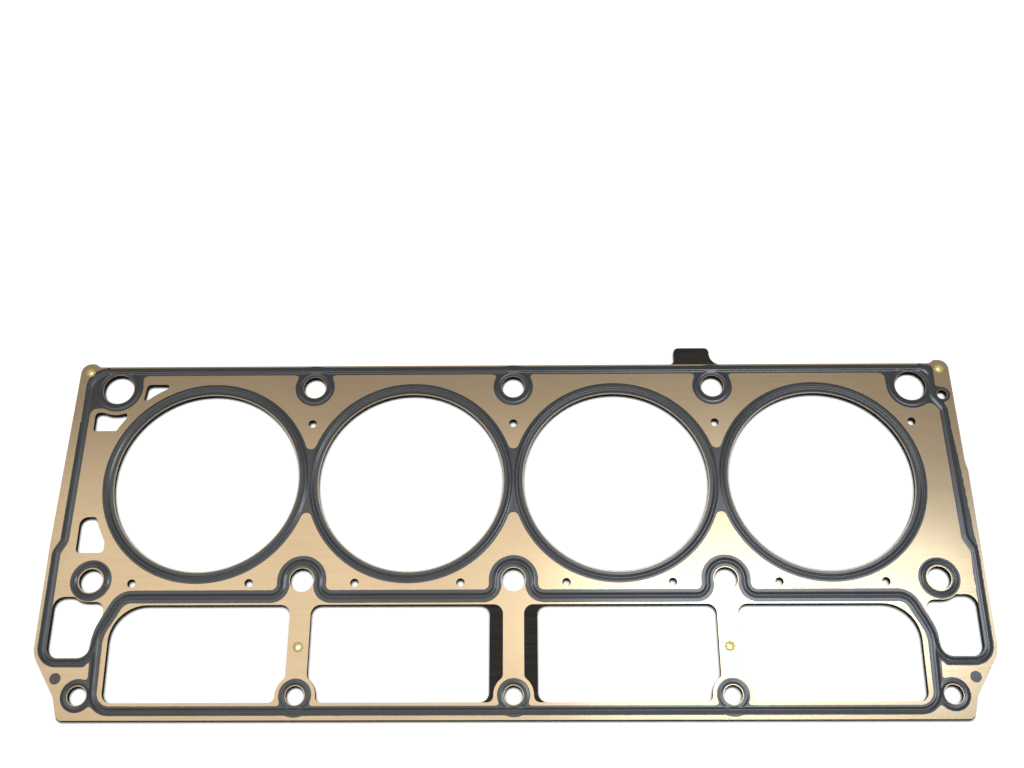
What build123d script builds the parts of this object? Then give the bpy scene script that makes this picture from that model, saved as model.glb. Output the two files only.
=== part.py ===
from build123d import *
from math import cos, sin, tan, atan2, hypot, pi, sqrt
import os

# Multi-layer steel cylinder head gasket for one bank of a V8 engine, lying flat.
# Millimetres. The origin is the midpoint of the bore row, in the middle plane of the core plate.
# +X runs along the bore row, +Y towards the edge with the locating tab, +Z up towards the head.
# Two thin bead sheets, mirror images of each other, lie on both faces of the core plate. Four
# stopper rings are let into the core plate round the bores, and four eyelets hold the pack.

# Layer thicknesses
core_thickness = 2.0
sheet_thickness = 0.3
stopper_thickness = 0.6

# Bores: openings in the bead sheets and the land left between two neighbours
bore_radius = 50.8
bore_land = 10.16
bore_count = 4
stopper_reach = 0.5
core_bore_inset = 0.35
stopper_width = 1.9
seat_clearance = 0.05

# Bolt rows: three bolts in line with the lands, the end columns one pitch further out
bolt_row_rise = 4.0
bolt_hole_radius = 6.3
dowel_hole_radius = 8.6
dowel_column_inset = 0.8
dowel_drop = 0.5
screw_hole_radius = 4.8
screw_column_inset = 0.46

# Levels below the bores: windows, bottom rail and the small screws that close the rail
window_drop = 17.1
window_height = 49.8
bottom_rail = 8.6
screw_rise = 3.6

# Windows and the webs between them
web_width = 10.9
core_centre_web_width = 24.8
shoulder_wall = 5.55
window_corner_radius = 5.0
window_end_radius = 18.5
window_end_inset = 12.7
window_end_slant = 1.0
shoulder_fillet = 3.2

# Outline
top_margin = 13.2
side_margin = 24.7
ear_side_margin = 22.0
ear_radius = 5.4
ear_height = 2.0
ear_slope = 2.3
ear_run = 2.5
side_corner_y = -36.0
step_y = 7.0
step_width = 1.1
step_length = 5.0
chamfer_radius = 12.0
chamfer_drop = 25.0
waist_margin = 12.3
waist_radius = 8.0
foot_margin = 8.8
foot_radius = 3.5
core_foot_radius = 1.8
blend_radius = 3.0

# Locating tab of the core plate
tab_width = 19.9
tab_height = 10.2
tab_offset = 10.5
tab_corner_radius = 2.6
tab_left_root_radius = 3.0
tab_right_root_radius = 6.5

# Water passages at the two ends, cut back from the end bolts by an arc
passage_inner_margin = 8.7
passage_outer_margin = 18.3
passage_drop = 8.5
passage_height = 31.9
passage_radius = 6.0
passage_neck_radius = 4.4
passage_neck_run = 7.5
passage_foot_inset = 5.3
passage_foot_slant = 1.0
passage_foot_radius = 5.0
passage_knee = 10.7
passage_notch_radius = 1.5
bolt_ring_wall = 5.0

# Drilled water holes: a row on each side of the bores
water_hole_radius = 2.25
upper_water_y = 33.0
lower_water_rise = 1.6
left_end_water_shift = 6.2
right_end_water_inset = 2.9
vent_hole_radius = 2.7
vent_hole_offset = 17.1
vent_hole_drop = 5.3

# Shaped water holes beside the left end bore, kept clear of it and of the dowel by arcs
shaped_hole_clearance = 10.2
dowel_ring_wall = 6.8
shaped_hole_reach = 10.5
shaped_corner_radius = 1.1
upper_shaped_start = 14.8
upper_shaped_tip = 2.34
upper_shaped_rise = 2.3
upper_shaped_height = 9.7
upper_shaped_lean = 1.2
upper_shaped_shoulder = 2.6
middle_shaped_tip = 3.37
middle_shaped_drop = 14.4
middle_shaped_height = 11.0
middle_shaped_shoulder = 2.4
lower_shaped_tip = 6.93
lower_shaped_rise = 15.0
lower_shaped_height = 19.8
lower_shaped_radius = 2.3
lower_shaped_shoulder = 4.6

# Embossed beads
bore_bead_offset = 3.35
bore_bead_half_width = 1.5
bore_bead_height = 0.5
track_bead_half_width = 1.3
track_bead_height = 0.4
bolt_bead_offset = 2.4
crest_share = 0.2
bead_root = 0.1

# Bead round the windows: distances from the edges that it follows
window_bead_offset = 4.35
rail_bead_offset = 4.0
hump_offset = 3.3
hump_root_radius = 6.4
window_bead_end_margin = 5.4
window_bead_shoulder = 10.2
window_bead_knee = 15.6
window_bead_slant = 1.6
window_bead_end_radius = 9.0
window_bead_bend_radius = 20.0
window_bead_foot_radius = 9.8

# Bead along the top edge and both sides
edge_bead_offset = 3.2
side_bead_offset = 4.8
passage_bead_offset = 2.3
edge_bead_corner_radius = 8.6
edge_bead_end_shift = 1.5
side_jog_radius = 5.0
side_jog_rise = 3.0
side_jog_drop = 3.5
left_bead_corner_offset = 6.4
left_bead_corner_radius = 10.5
dowel_bead_offset = 3.0
right_bead_corner_radius = 5.0
vent_jog_radius = 4.5
vent_jog_reach = 5.0
vent_jog_start = 7.3
vent_jog_length = 7.0

# Eyelets
eyelet_radius = 1.9
eyelet_hole_radius = 1.5
eyelet_clearance = 0.1
eyelet_flange_radius = 2.6
eyelet_flange_thickness = 0.25
petal_count = 8
petal_radius = 2.85
eyelet_notch_radius = 2.35
web_eyelet_drop = 21.9

# Places worked out from the sizes above
bore_pitch = 2 * bore_radius + bore_land
bore_x = [(i - (bore_count - 1) / 2) * bore_pitch for i in range(bore_count)]
bolt_y = bore_radius + bolt_row_rise
end_bolt_x = 2 * bore_pitch
dowel_x = end_bolt_x - dowel_column_inset
dowel_y = bolt_y - dowel_drop
screw_pitch = bore_pitch - screw_column_inset
end_screw_x = 2 * screw_pitch
window_top = -(bore_radius + window_drop)
window_bottom = window_top - window_height
screw_y = window_bottom + screw_rise
window_end_x = end_bolt_x - window_end_inset
top_edge = bolt_y + top_margin
bottom_edge = window_bottom - bottom_rail
side_x = end_bolt_x + side_margin
ear_side_x = end_bolt_x + ear_side_margin
ear_x = ear_side_x - ear_radius
ear_y = top_edge + ear_height - ear_radius
passage_top = -(bolt_y + passage_drop)
passage_bottom = passage_top - passage_height
shoulder_radius = screw_hole_radius + shoulder_wall
bolt_ring_radius = bolt_hole_radius + bolt_ring_wall
bore_bead_radius = bore_radius + bore_bead_offset
bolt_bead_radius = bolt_hole_radius + bolt_bead_offset
hump_radius = bolt_hole_radius + hump_offset
core_top = core_thickness / 2
sheet_top = core_top + sheet_thickness


def rounded_path(corners, closed=True):
    """Straight runs joined by tangent arcs, from corners given as (x, y, radius)."""
    count = len(corners)
    edges = []
    last = None
    first = None
    for i, (x, y, radius) in enumerate(corners):
        if not closed and i in (0, count - 1):
            start = end = (x, y)
            arc = None
        else:
            before = corners[i - 1]
            after = corners[(i + 1) % count]
            heading_in = atan2(y - before[1], x - before[0])
            heading_out = atan2(after[1] - y, after[0] - x)
            turn = (heading_out - heading_in + pi) % (2 * pi) - pi
            reach = radius * tan(abs(turn) / 2)
            start = (x - reach * cos(heading_in), y - reach * sin(heading_in))
            end = (x + reach * cos(heading_out), y + reach * sin(heading_out))
            bisector = heading_in + turn / 2 + (pi / 2 if turn > 0 else -pi / 2)
            depth = radius / cos(turn / 2) - radius
            middle = (x + depth * cos(bisector), y + depth * sin(bisector))
            arc = ThreePointArc(start, middle, end) if reach > 0.001 else None
        if last is not None and hypot(start[0] - last[0], start[1] - last[1]) > 0.001:
            edges.append(Line(last, start))
        if arc is not None:
            edges.append(arc)
        last = end
        first = first or start
    if closed and hypot(first[0] - last[0], first[1] - last[1]) > 0.001:
        edges.append(Line(last, first))
    return Wire([piece.edge() for piece in edges])


def rounded_face(corners):
    """A flat face inside a closed rounded path."""
    return Sketch() + make_face(rounded_path(corners))


def disc(x, y, radius):
    """A round face at a place."""
    return Pos(x, y) * Circle(radius)


def block(left, right, low, high):
    """A rectangular face between four levels."""
    return Pos((left + right) / 2, (low + high) / 2) * Rectangle(right - left, high - low)


def rounded_at(face, places):
    """Round the corners nearest to the given places, each (x, y, radius)."""
    for x, y, radius in places:
        corner = face.vertices().sort_by_distance((x, y, 0))[0]
        face = fillet(corner, radius)
    return face


def rounded_all(face, radius, x, y, own_radius):
    """Round every corner by one radius, apart from the one nearest to a place, which has its own."""
    own = face.vertices().sort_by_distance((x, y, 0))[0]
    return rounded_at(face, [
        (corner.X, corner.Y, own_radius if corner == own else radius) for corner in face.vertices()
    ])


def flipped(corners):
    """The same corners on the other side of the middle."""
    return [(-x, y, radius) for x, y, radius in corners]


def outline(foot, with_tab):
    """The outer edge, clockwise from the left ear."""
    left_top = [
        (-ear_side_x, top_edge + ear_height, ear_radius),
        (-ear_x + ear_run, top_edge + ear_height, blend_radius),
        (-ear_x + ear_run + ear_slope, top_edge, blend_radius),
    ]
    tab_x = bore_pitch - tab_offset
    tab = [
        (tab_x - tab_width / 2, top_edge, tab_left_root_radius),
        (tab_x - tab_width / 2, top_edge + tab_height, tab_corner_radius),
        (tab_x + tab_width / 2, top_edge + tab_height, tab_corner_radius),
        (tab_x + tab_width / 2, top_edge, tab_right_root_radius),
    ]
    right_step = [
        (ear_side_x + step_width, step_y + step_length / 2, 2 * blend_radius),
        (side_x - step_width / 2, step_y - step_length / 2, 2 * blend_radius),
    ]
    right_foot = [
        (side_x, window_top - chamfer_drop, chamfer_radius),
        (end_screw_x + waist_margin, screw_y, waist_radius),
        (end_screw_x + foot_margin, bottom_edge, foot),
    ]
    left_side = [(-side_x, side_corner_y, chamfer_radius)]
    corners = left_top + (tab if with_tab else []) + flipped(left_top)[::-1]
    corners += right_step + right_foot + flipped(right_foot)[::-1] + left_side
    return rounded_face(corners)


def end_window():
    """The left end window, with one large corner and a shoulder round the screw hole."""
    web_side = -screw_pitch - web_width / 2
    face = rounded_face([
        (-window_end_x, window_top, window_end_radius),
        (web_side, window_top, window_corner_radius),
        (web_side, window_bottom, 0),
        (-window_end_x + window_end_slant, window_bottom, window_corner_radius),
    ])
    return shouldered(face, -screw_pitch, web_side)


def shouldered(face, screw_x, web_side):
    """Cut a window back from a screw hole, with fillets into the web and the rail."""
    side = 1 if web_side > screw_x else -1
    rise = sqrt(shoulder_radius ** 2 - (web_side - screw_x) ** 2)
    reach = sqrt(shoulder_radius ** 2 - screw_rise ** 2)
    face = face - disc(screw_x, screw_y, shoulder_radius)
    return rounded_at(face, [
        (web_side, screw_y + rise, shoulder_fillet),
        (screw_x + side * reach, window_bottom, shoulder_fillet),
    ])


def middle_window(core):
    """The window left of the middle. The core plate has a wider web at the middle."""
    outer = -screw_pitch + web_width / 2
    inner = -core_centre_web_width / 2 if core else -web_width / 2
    foot = window_corner_radius if core else 0
    face = rounded_face([
        (outer, window_top, window_corner_radius),
        (inner, window_top, window_corner_radius),
        (inner, window_bottom, foot),
        (outer, window_bottom, 0),
    ])
    face = shouldered(face, -screw_pitch, outer)
    return face if core else shouldered(face, 0, inner)


def end_passage():
    """The left end water passage, cut back from the ring of the bolt above it."""
    inner = -(end_bolt_x - passage_inner_margin)
    outer = -(end_bolt_x + passage_outer_margin)
    foot = inner - passage_foot_inset
    neck = -(bolt_y + bolt_ring_radius) + seat_clearance
    face = rounded_face([
        (outer, passage_top, passage_radius),
        (-end_bolt_x, passage_top, 0),
        (-end_bolt_x, neck, 0),
        (inner, neck, passage_neck_radius),
        (inner, neck - passage_neck_run, passage_radius),
        (foot + passage_foot_slant, passage_bottom + passage_knee, 2 * passage_radius),
        (foot, passage_bottom, passage_foot_radius),
        (outer, passage_bottom, passage_radius),
    ])
    face = face - disc(-end_bolt_x, -bolt_y, bolt_ring_radius)
    meet = sqrt(bolt_ring_radius ** 2 - passage_drop ** 2)
    return rounded_at(face, [(-end_bolt_x - meet, passage_top, passage_notch_radius)])


def shaped_water_holes():
    """Three holes at the left end that follow the bore and the dowel ring by arcs."""
    keep_radius = bore_radius + shaped_hole_clearance
    bore_keep = disc(bore_x[0], 0, keep_radius)
    dowel_keep = disc(-dowel_x, dowel_y, dowel_hole_radius + dowel_ring_wall)

    def arc_x(y):
        """Where the arc round the bore is at a level."""
        return bore_x[0] - sqrt(keep_radius ** 2 - y ** 2)

    left = -end_bolt_x - shaped_hole_reach
    start = -dowel_x + upper_shaped_start
    high = bolt_y + upper_shaped_rise
    tip = arc_x(high - upper_shaped_tip)
    foot = high - upper_shaped_height
    upper = Sketch() + make_face(Polyline(
        (start, foot), (tip, foot), (tip, high), (start + upper_shaped_lean, high), close=True))
    upper = rounded_all(upper - bore_keep, shaped_corner_radius, start, high, upper_shaped_shoulder)
    high = bolt_y - middle_shaped_drop
    middle = block(left, arc_x(high - middle_shaped_tip), high - middle_shaped_height, high)
    middle = rounded_all(middle - bore_keep - dowel_keep, shaped_corner_radius,
                         left, high, middle_shaped_shoulder)
    low = -bolt_y + lower_shaped_rise
    high = low + lower_shaped_height
    lower = block(left, arc_x(low + lower_shaped_tip), low, high)
    lower = rounded_all(lower - bore_keep, lower_shaped_radius, left, high, lower_shaped_shoulder)
    return upper + middle + lower


def water_holes():
    """Drilled holes between the bores, one row above and one below."""
    quarter = bore_pitch / 4
    upper = [(i * bore_pitch, upper_water_y) for i in (-1, 0, 1)]
    upper.append((end_bolt_x - right_end_water_inset, upper_water_y))
    lower_y = -(bolt_y + lower_water_rise)
    lower = [(i * quarter, lower_y) for i in (-5, -3, -1, 1, 3, 5, 7)]
    lower.append((-7 * quarter - left_end_water_shift, lower_y))
    holes = Sketch()
    for x, y in upper + lower:
        holes += disc(x, y, water_hole_radius)
    return holes + disc(dowel_x + vent_hole_offset, dowel_y - vent_hole_drop, vent_hole_radius)


eyelet_places = [
    ("eyelet_corner_left", -ear_x, ear_y),
    ("eyelet_corner_right", ear_x, ear_y),
    ("eyelet_web_left", -screw_pitch, window_top - web_eyelet_drop),
    ("eyelet_web_right", screw_pitch, window_top - web_eyelet_drop),
]


def fastener_holes():
    """Head bolt, dowel, screw and eyelet holes."""
    holes = Sketch()
    for i in (-1, 0, 1):
        holes += disc(i * bore_pitch, bolt_y, bolt_hole_radius)
    for i in (-2, -1, 0, 1, 2):
        holes += disc(i * bore_pitch, -bolt_y, bolt_hole_radius)
        holes += disc(i * screw_pitch, screw_y, screw_hole_radius)
    for side in (-1, 1):
        holes += disc(side * dowel_x, dowel_y, dowel_hole_radius)
    for _, x, y in eyelet_places:
        holes += disc(x, y, eyelet_radius + eyelet_clearance)
    return holes


def layer_face(core):
    """One layer seen from above, with every opening that goes through the pack."""
    foot = core_foot_radius if core else foot_radius
    radius = bore_radius - core_bore_inset if core else bore_radius
    windows = end_window() + middle_window(core)
    passage = end_passage()
    face = outline(foot, with_tab=core)
    for x in bore_x:
        face -= disc(x, 0, radius)
    for cut in (windows, passage):
        face = face - cut - mirror(cut, about=Plane.YZ)
    return face - shaped_water_holes() - water_holes() - fastener_holes()


def bead_profile(half_width, height, root, half=False):
    """Section of a full bead, in (radius, z): a flat crest between two sloping flanks."""
    crest = crest_share * half_width
    outer = [(crest, height), (half_width, 0), (half_width, -root)]
    inner = [(0, -root), (0, height)] if half else [(-x, z) for x, z in outer[::-1]]
    return make_face(Polyline(*outer, *inner, close=True))


def ring_bead(x, y, radius, half_width, height, level):
    """A full bead round a hole, standing on a level."""
    section = Plane.XZ * Pos(radius, level) * bead_profile(half_width, height, bead_root)
    return Pos(x, y) * revolve(section, Axis.Z)


def track_bead(path, level):
    """A full bead along a path, standing on a level."""
    start = path @ 0
    heading = path % 0
    across = Plane(origin=(start.X, start.Y, level), x_dir=(-heading.Y, heading.X, 0), z_dir=heading)
    section = across * bead_profile(track_bead_half_width, track_bead_height, bead_root)
    return sweep(section, path=Pos(0, 0, level) * path)


def bead_end(point, level):
    """The rounded end of a bead: half of its section turned about an upright axis."""
    section = Plane.XZ * Pos(0, level) * bead_profile(
        track_bead_half_width, track_bead_height, bead_root, half=True)
    return Pos(point.X, point.Y) * revolve(section, Axis.Z)


def window_bead_path():
    """Closed line round the four windows, with a hump over each middle-row bolt."""
    level = window_top + window_bead_offset
    crown = -bolt_y + hump_radius
    corners = []
    for i in (-1, 0, 1):
        x = i * bore_pitch
        corners += [
            (x - hump_radius, level, hump_root_radius),
            (x - hump_radius, crown, hump_radius),
            (x + hump_radius, crown, hump_radius),
            (x + hump_radius, level, hump_root_radius),
        ]
    bend_x = window_end_x + window_bead_end_margin
    foot_x = bend_x - window_bead_slant
    right_end = [
        (bend_x - window_bead_shoulder, level, window_bead_end_radius),
        (bend_x, window_top - window_bead_knee, window_bead_bend_radius),
        (foot_x, window_bottom - rail_bead_offset, window_bead_foot_radius),
    ]
    return rounded_path(corners + right_end + flipped(right_end)[::-1])


def edge_bead_path():
    """Open line along the top edge and both sides, ending under the end passages."""
    level = top_edge - edge_bead_offset
    foot_y = passage_bottom - passage_bead_offset
    outer = end_bolt_x + passage_outer_margin + passage_bead_offset
    side = ear_side_x - side_bead_offset
    end = end_bolt_x - edge_bead_end_shift
    lower_side = [
        (side, side_corner_y + side_jog_rise, side_jog_radius),
        (outer, side_corner_y - side_jog_drop, side_jog_radius),
        (outer, foot_y, edge_bead_corner_radius),
        (end, foot_y, 0),
    ]
    corner_x = dowel_x + dowel_hole_radius + dowel_bead_offset
    jog_y = bolt_y - vent_jog_start
    left_top = [(-ear_side_x + left_bead_corner_offset, level, left_bead_corner_radius)]
    right_top = [
        (corner_x, level, right_bead_corner_radius),
        (corner_x, jog_y, vent_jog_radius),
        (corner_x + vent_jog_reach, jog_y - vent_jog_length, vent_jog_radius),
    ]
    return rounded_path(flipped(lower_side)[::-1] + left_top + right_top + lower_side, closed=False)


def all_beads(level):
    """Every bead standing on a level, as one list of solids."""
    beads = []
    for x in bore_x:
        beads.append(ring_bead(x, 0, bore_bead_radius, bore_bead_half_width,
                               bore_bead_height, level))
    for side in (-1, 1):
        beads.append(ring_bead(side * end_bolt_x, -bolt_y, bolt_bead_radius,
                               track_bead_half_width, track_bead_height, level))
    edge_path = edge_bead_path()
    beads.append(track_bead(window_bead_path(), level))
    beads.append(track_bead(edge_path, level))
    for end in (0, 1):
        beads.append(bead_end(edge_path @ end, level))
    return beads


def bead_sheet():
    """The upper sheet: embossed full beads of the sheet's own thickness, hollow below."""
    sheet = Pos(0, 0, core_top) * extrude(layer_face(core=False), sheet_thickness)
    for bead in all_beads(sheet_top):
        sheet += bead
    for groove in all_beads(core_top):
        sheet -= groove
    return sheet


def core_plate():
    """The plain plate in the middle, with a recess for each stopper ring."""
    plate = Pos(0, 0, -core_top) * extrude(layer_face(core=True), core_thickness)
    recess_radius = bore_radius - stopper_reach + stopper_width + seat_clearance
    for x in bore_x:
        recess = Cylinder(recess_radius, stopper_thickness)
        plate -= Pos(x, 0, core_top - stopper_thickness / 2) * recess
    return plate


def stopper_ring(x):
    """A flat ring let into the core plate, its inner edge just inside the bore opening."""
    inner = bore_radius - stopper_reach
    face = Circle(inner + stopper_width) - Circle(inner)
    return Pos(x, 0, core_top - stopper_thickness) * extrude(face, stopper_thickness)


def eyelet(x, y):
    """A tubular eyelet: plain flange below, flange split into petals above."""
    length = 2 * sheet_top + 2 * eyelet_flange_thickness
    barrel = Cylinder(eyelet_radius, length)
    flange = Pos(0, 0, -sheet_top - eyelet_flange_thickness / 2) * Cylinder(
        eyelet_flange_radius, eyelet_flange_thickness)
    star = []
    for i in range(2 * petal_count):
        radius = petal_radius if i % 2 == 0 else eyelet_notch_radius
        angle = i * pi / petal_count
        star.append((radius * cos(angle), radius * sin(angle)))
    crown = Pos(0, 0, sheet_top) * extrude(Polygon(*star, align=None), eyelet_flange_thickness)
    return Pos(x, y) * (barrel + flange + crown - Cylinder(eyelet_hole_radius, length))


os.makedirs("parts", exist_ok=True)
upper_sheet = bead_sheet()
export_step(upper_sheet, "parts/upper_bead_sheet.step")
export_step(mirror(upper_sheet, about=Plane.XY), "parts/lower_bead_sheet.step")
export_step(core_plate(), "parts/core_plate.step")
for number, x in enumerate(bore_x, start=1):
    export_step(stopper_ring(x), f"parts/stopper_ring_{number}.step")
for name, x, y in eyelet_places:
    export_step(eyelet(x, y), f"parts/{name}.step")
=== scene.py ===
"""Looks of a layered steel head gasket, dressed around its packed layers.

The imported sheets, core plate and stopper rings keep their own meshes and get finishes. New pieces are the
screen-printed rubber coat on both faces and the rolled eyelets. Plan sizes are in millimetres, with the
origin at the middle of the bore row, and turn into metres when a mesh is made.
"""

import logging
import math
from dataclasses import dataclass
from enum import Enum

import bpy
import numpy as np
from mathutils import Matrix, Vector


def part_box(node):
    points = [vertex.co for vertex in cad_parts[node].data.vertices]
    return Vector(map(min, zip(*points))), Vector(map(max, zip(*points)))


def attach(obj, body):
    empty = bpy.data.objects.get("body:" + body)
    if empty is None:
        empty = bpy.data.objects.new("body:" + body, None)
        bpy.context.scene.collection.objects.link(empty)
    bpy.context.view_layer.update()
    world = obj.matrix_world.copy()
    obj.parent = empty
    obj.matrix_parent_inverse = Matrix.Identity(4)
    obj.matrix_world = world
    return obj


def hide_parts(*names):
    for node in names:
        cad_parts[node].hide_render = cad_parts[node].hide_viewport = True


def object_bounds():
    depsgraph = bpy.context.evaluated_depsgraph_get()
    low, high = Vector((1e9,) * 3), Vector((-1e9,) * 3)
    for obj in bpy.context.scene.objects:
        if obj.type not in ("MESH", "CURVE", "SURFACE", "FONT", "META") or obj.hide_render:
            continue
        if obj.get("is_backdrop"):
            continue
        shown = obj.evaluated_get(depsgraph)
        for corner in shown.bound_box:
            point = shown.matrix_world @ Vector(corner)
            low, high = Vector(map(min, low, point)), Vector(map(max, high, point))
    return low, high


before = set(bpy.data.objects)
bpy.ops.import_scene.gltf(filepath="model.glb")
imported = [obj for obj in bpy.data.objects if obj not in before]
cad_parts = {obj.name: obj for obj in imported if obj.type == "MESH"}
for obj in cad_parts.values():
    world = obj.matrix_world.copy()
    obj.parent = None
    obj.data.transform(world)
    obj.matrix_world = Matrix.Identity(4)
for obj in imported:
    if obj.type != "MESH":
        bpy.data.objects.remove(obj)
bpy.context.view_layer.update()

MM = 0.001
EYELETS = ("eyelet_corner_left", "eyelet_corner_right", "eyelet_web_left", "eyelet_web_right")
log = logging.getLogger("gasket")


class Face(Enum):
    """The two faces of the gasket, with the sign of their height."""

    UPPER = 1
    LOWER = -1


# Small tools


def linear(colour: str) -> tuple[float, float, float, float]:
    """Turns an sRGB hex colour into linear values.

    Args:
        colour: the colour as "#rrggbb".

    Returns:
        Linear red, green and blue, and an alpha of 1.
    """
    values = [int(colour[i:i + 2], 16) / 255 for i in (1, 3, 5)]
    turned = [v / 12.92 if v <= 0.04045 else ((v + 0.055) / 1.055) ** 2.4 for v in values]
    return (*turned, 1.0)


def add_node(
    tree: bpy.types.NodeTree, kind: str, settings: dict | None = None, links: dict | None = None
) -> bpy.types.Node:
    """Adds one node with its settings and links.

    Args:
        tree: the node tree that it goes into.
        kind: the node's type.
        settings: values by attribute name, or by input name or number.
        links: the output that feeds each input, by input name or number.

    Returns:
        The new node.
    """
    node = tree.nodes.new(kind)
    for key, value in (settings or {}).items():
        if isinstance(key, str) and hasattr(node, key):
            setattr(node, key, value)
        else:
            node.inputs[key].default_value = value
    for key, source in (links or {}).items():
        tree.links.new(source, node.inputs[key])
    return node


def smooth_max(a: np.ndarray, b: np.ndarray, reach: float) -> np.ndarray:
    """The larger of two fields, rounded where they differ by less than a reach.

    The rounding adds reach / 4 times the square of 1 - |a - b| / reach, which is zero once they differ by it.

    Args:
        a: the first field.
        b: the second field.
        reach: the difference at which the rounding starts.

    Returns:
        The rounded maximum.
    """
    share = np.clip(1 - np.abs(a - b) / reach, 0, None)
    return np.maximum(a, b) + reach / 4 * share ** 2


def smooth_min(a: np.ndarray, b: np.ndarray, reach: float) -> np.ndarray:
    """The smaller of two fields, rounded in the same way as smooth_max."""
    return -smooth_max(-a, -b, reach)


def disc(x: np.ndarray, y: np.ndarray, place: tuple[float, float], radius: float) -> np.ndarray:
    """Depth inside a disc: its radius less the distance from its centre."""
    return radius - np.hypot(x - place[0], y - place[1])


def rounded_box(
    x: np.ndarray, y: np.ndarray, low: tuple[float, float], high: tuple[float, float], radius: float
) -> np.ndarray:
    """Depth inside a rectangle with round corners.

    The rectangle is shrunk by the radius, and the depth is the radius less the distance from what is left.

    Args:
        x: places across.
        y: places up.
        low: the lower left corner.
        high: the upper right corner.
        radius: the radius of its corners.

    Returns:
        The depth, positive inside.
    """
    over_x = np.abs(x - (low[0] + high[0]) / 2) - (high[0] - low[0]) / 2 + radius
    over_y = np.abs(y - (low[1] + high[1]) / 2) - (high[1] - low[1]) / 2 + radius
    outside = np.hypot(np.clip(over_x, 0, None), np.clip(over_y, 0, None))
    return radius - outside - np.clip(np.maximum(over_x, over_y), None, 0)


@dataclass(frozen=True)
class RoundedLine:
    """A line of straight runs joined by tangent arcs.

    Corners are (x, y, radius) in millimetres. An open line's first and last corners are its ends.
    """

    corners: tuple[tuple[float, float, float], ...]
    closed: bool = False

    def parts(self) -> tuple[list[tuple], list[tuple]]:
        """Splits the line into its straight runs and its arcs.

        An arc's centre lies on the inner side of the corner, as far from both runs as the radius.

        Returns:
            Runs as (x, y, end x, end y), and arcs as (centre x, centre y, radius, facing, half turn).
        """
        count = len(self.corners)
        arcs = []
        stops = []
        for i, (x, y, radius) in enumerate(self.corners):
            if not self.closed and i in (0, count - 1):
                stops.append(((x, y), (x, y)))
                continue
            before = self.corners[i - 1]
            after = self.corners[(i + 1) % count]
            way_in = math.atan2(y - before[1], x - before[0])
            way_out = math.atan2(after[1] - y, after[0] - x)
            turn = (way_out - way_in + math.pi) % math.tau - math.pi
            reach = radius * math.tan(abs(turn) / 2)
            side = math.copysign(math.pi / 2, turn)
            start = (x - reach * math.cos(way_in), y - reach * math.sin(way_in))
            end = (x + reach * math.cos(way_out), y + reach * math.sin(way_out))
            centre_x = start[0] + radius * math.cos(way_in + side)
            centre_y = start[1] + radius * math.sin(way_in + side)
            facing = math.atan2(y - centre_y, x - centre_x)
            arcs.append((centre_x, centre_y, radius, facing, abs(turn) / 2))
            stops.append((start, end))
        following = stops[1:] + (stops[:1] if self.closed else [])
        runs = [(*a[1], *b[0]) for a, b in zip(stops, following) if math.dist(a[1], b[0]) > 0.001]
        return runs, arcs

    def distance(self, x: np.ndarray, y: np.ndarray) -> np.ndarray:
        """Distance from the line.

        From a run it is the distance to the nearest point between its ends. From an arc it is the
        difference between the radius and the distance to the centre, inside the arc's own wedge.

        Args:
            x: places across.
            y: places up.

        Returns:
            The distance to the nearest part.
        """
        runs, arcs = self.parts()
        best = np.full(np.shape(x), np.inf)
        for start_x, start_y, end_x, end_y in runs:
            run_x, run_y = end_x - start_x, end_y - start_y
            along = ((x - start_x) * run_x + (y - start_y) * run_y) / (run_x ** 2 + run_y ** 2)
            along = np.clip(along, 0, 1)
            best = np.minimum(best, np.hypot(x - start_x - along * run_x, y - start_y - along * run_y))
        for centre_x, centre_y, radius, facing, half_turn in arcs:
            angle = np.arctan2(y - centre_y, x - centre_x) - facing
            angle = np.abs((angle + np.pi) % math.tau - np.pi)
            off = np.abs(np.hypot(x - centre_x, y - centre_y) - radius)
            best = np.where(angle <= half_turn, np.minimum(best, off), best)
        return best


@dataclass(frozen=True)
class PlanMesh:
    """A flat net of triangles with the edges of its rim."""

    x: np.ndarray
    y: np.ndarray
    triangles: np.ndarray
    rim: np.ndarray


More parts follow.
